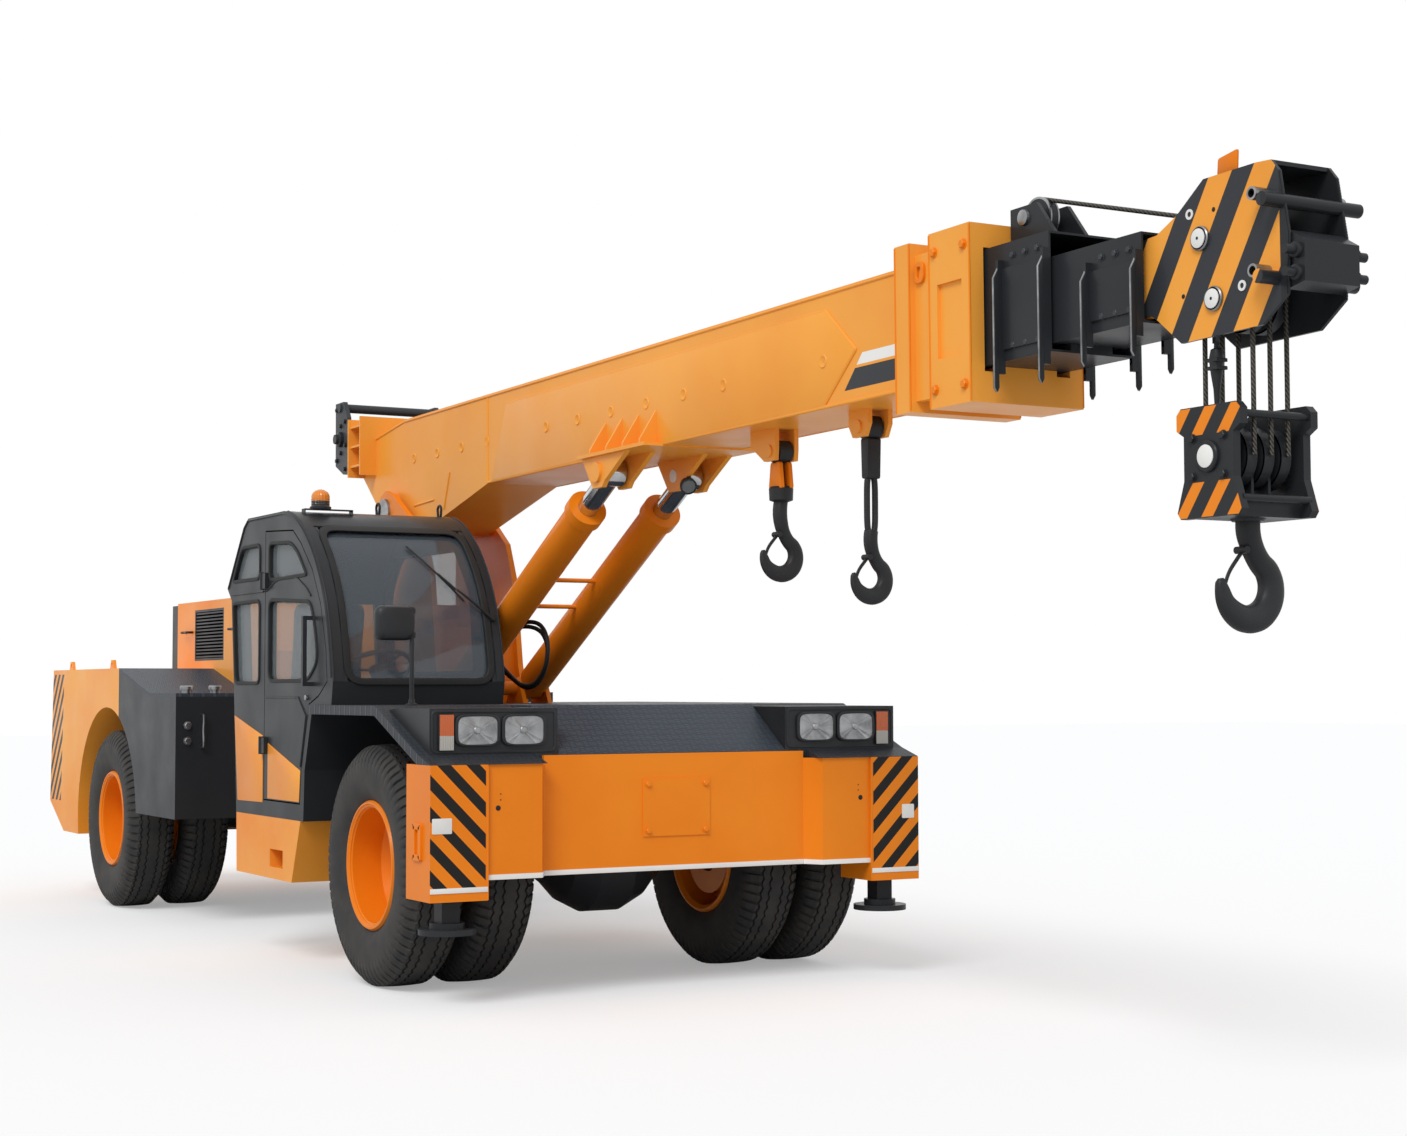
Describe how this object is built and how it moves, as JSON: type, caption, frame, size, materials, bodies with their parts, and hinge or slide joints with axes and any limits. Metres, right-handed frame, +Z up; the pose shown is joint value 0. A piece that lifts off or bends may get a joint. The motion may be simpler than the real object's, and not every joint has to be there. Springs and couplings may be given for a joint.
{
  "type": "pick and carry crane",
  "caption": "Articulated pick and carry crane with a telescopic boom, twin tyred wheels, a side cab, lift cylinders, hook block and auxiliary hooks.",
  "frame": {"origin": "on the floor under the middle of the whole crane", "axes": "+X forward along the crane towards the boom head, +Y to its left, +Z up"},
  "size_m": [10.93, 2.525, 3.1049],
  "materials": {
    "orange_paint": "gloss",
    "black_paint": "satin",
    "grey_paint": "satin",
    "bare_steel": "satin",
    "chrome_rod": "polished",
    "tyre_rubber": "matte",
    "window_glass": "clear",
    "lamp_plastic": "clear",
    "amber_plastic": "clear",
    "black_plastic": "matte",
    "seat_cloth": "matte",
    "wire_rope": "greased"
  },
  "bodies": {
    "chassis": {"front_frame": "black_paint", "articulation_pin": "bare_steel", "front_deck": "grey_paint", "front_fenders": "black_paint", "front_bumper": "orange_paint", "lamp_housings": "black_plastic", "headlamps": "lamp_plastic", "indicators": "amber_plastic", "front_axle": "black_paint", "cab_shell": "black_paint", "windscreen": "window_glass", "fixed_windows": "window_glass", "seat_base": "black_paint", "seat_cushions": "seat_cloth", "steering_column": "black_plastic", "step_box": "orange_paint", "side_box": "orange_paint", "mirror": "black_plastic", "beacon": "amber_plastic", "mast": "orange_paint", "lift_pin": "bare_steel", "ram_feet": "orange_paint"},
    "rear_unit": {"rear_frame": "black_paint", "hydraulic_tank": "black_paint", "fuel_tank": "black_paint", "rear_deck": "grey_paint", "counterweight": "orange_paint", "engine_hood": "orange_paint", "hood_grilles": "black_paint", "radiator_frame": "black_paint", "engine": "grey_paint", "rear_axle": "black_paint"},
    "cab_door": {"cab_door": "black_paint", "door_windows": "window_glass"},
    "jack_right": {"jack_right": "black_paint"},
    "jack_left": {"jack_left": "black_paint"},
    "boom": {"boom_base": "orange_paint", "winch_frame": "grey_paint"},
    "winch_drum": {"winch_drum": "bare_steel"},
    "lift_barrels": {"lift_barrels": "orange_paint"},
    "lift_rods": {"lift_rods": "chrome_rod"},
    "section_two": {"boom_section_two": "black_paint"},
    "section_three": {"boom_section_three": "black_paint"},
    "section_four": {"boom_section_four": "orange_paint", "head_sheaves": "grey_paint"},
    "hook_block": {"hook_block": "black_paint", "main_hook": "black_paint", "hoist_ropes": "wire_rope"},
    "swivel_hook": {"swivel_hook": "black_paint"},
    "link_hook": {"link_hook": "black_paint"},
    "front_right_wheel": {"front_right_rims": "orange_paint", "front_right_tyres": "tyre_rubber"},
    "front_left_wheel": {"front_left_rims": "orange_paint", "front_left_tyres": "tyre_rubber"},
    "rear_right_wheel": {"rear_right_rims": "orange_paint", "rear_right_tyres": "tyre_rubber"},
    "rear_left_wheel": {"rear_left_rims": "orange_paint", "rear_left_tyres": "tyre_rubber"}
  },
  "joints": [
    {"name": "articulation", "type": "hinge", "parent": "chassis", "child": "rear_unit", "pos_m": [-1.875, 0, 0.95], "axis": [0, 0, 1], "range_deg": [-40, 40]},
    {"name": "cab_door_swing", "type": "hinge", "parent": "chassis", "child": "cab_door", "pos_m": [-0.83, -1.236, 1.5], "axis": [0, 0, -1], "range_deg": [0, 90]},
    {"name": "jack_right_slide", "type": "slide", "parent": "chassis", "child": "jack_right", "axis": [0, 0, -1], "range_m": [0, 0.3]},
    {"name": "jack_left_slide", "type": "slide", "parent": "chassis", "child": "jack_left", "axis": [0, 0, -1], "range_m": [0, 0.3]},
    {"name": "boom_lift", "type": "hinge", "parent": "chassis", "child": "boom", "pos_m": [-1.625, 0, 2.36], "axis": [0, -1, 0], "range_deg": [0, 60]},
    {"name": "winch_turn", "type": "hinge", "parent": "boom", "child": "winch_drum", "pos_m": [-2.22787, 0, 2.83387], "axis": [0, 1, 0], "continuous": true},
    {"name": "barrel_swing", "type": "hinge", "parent": "chassis", "child": "lift_barrels", "pos_m": [-0.675, 0, 1.37], "axis": [0, -1, 0], "range_deg": [0, 54]},
    {"name": "rod_slide", "type": "slide", "parent": "lift_barrels", "child": "lift_rods", "axis": [0.8723, 0, 0.4889], "range_m": [0, 1.3434]},
    {"name": "section_two_slide", "type": "slide", "parent": "boom", "child": "section_two", "axis": [0.9999, 0, 0.0102], "range_m": [0, 3.3]},
    {"name": "section_three_slide", "type": "slide", "parent": "section_two", "child": "section_three", "axis": [0.9999, 0, 0.0102], "range_m": [0, 3.3]},
    {"name": "section_four_slide", "type": "slide", "parent": "section_three", "child": "section_four", "axis": [0.9999, 0, 0.0102], "range_m": [0, 3.3]},
    {"name": "block_hang", "type": "hinge", "parent": "section_four", "child": "hook_block", "pos_m": [5.09, 0, 2.576], "axis": [0, -1, 0], "range_deg": [-60, 0]},
    {"name": "swivel_hang", "type": "hinge", "parent": "boom", "child": "swivel_hook", "pos_m": [2.27, 0, 2.361], "axis": [0, -1, 0], "range_deg": [-60, 0]},
    {"name": "link_hang", "type": "hinge", "parent": "boom", "child": "link_hook", "pos_m": [2.955, 0, 2.395], "axis": [0, -1, 0], "range_deg": [-60, 0]},
    {"name": "front_right_turn", "type": "hinge", "parent": "chassis", "child": "front_right_wheel", "pos_m": [0.525, 0, 0.555], "axis": [0, 1, 0], "continuous": true},
    {"name": "front_left_turn", "type": "hinge", "parent": "chassis", "child": "front_left_wheel", "pos_m": [0.525, 0, 0.555], "axis": [0, 1, 0], "continuous": true},
    {"name": "rear_right_turn", "type": "hinge", "parent": "rear_unit", "child": "rear_right_wheel", "pos_m": [-3.995, 0, 0.555], "axis": [0, 1, 0], "continuous": true},
    {"name": "rear_left_turn", "type": "hinge", "parent": "rear_unit", "child": "rear_left_wheel", "pos_m": [-3.995, 0, 0.555], "axis": [0, 1, 0], "continuous": true}
  ],
  "couplings": [
    {"joint": "barrel_swing", "follows": "boom_lift", "ratio": 0.89627},
    {"joint": "rod_slide", "follows": "boom_lift", "m_per_rad": 1.2819},
    {"joint": "section_three_slide", "follows": "section_two_slide", "ratio": 1},
    {"joint": "section_four_slide", "follows": "section_two_slide", "ratio": 1},
    {"joint": "block_hang", "follows": "boom_lift", "ratio": -1},
    {"joint": "swivel_hang", "follows": "boom_lift", "ratio": -1},
    {"joint": "link_hang", "follows": "boom_lift", "ratio": -1}
  ]
}
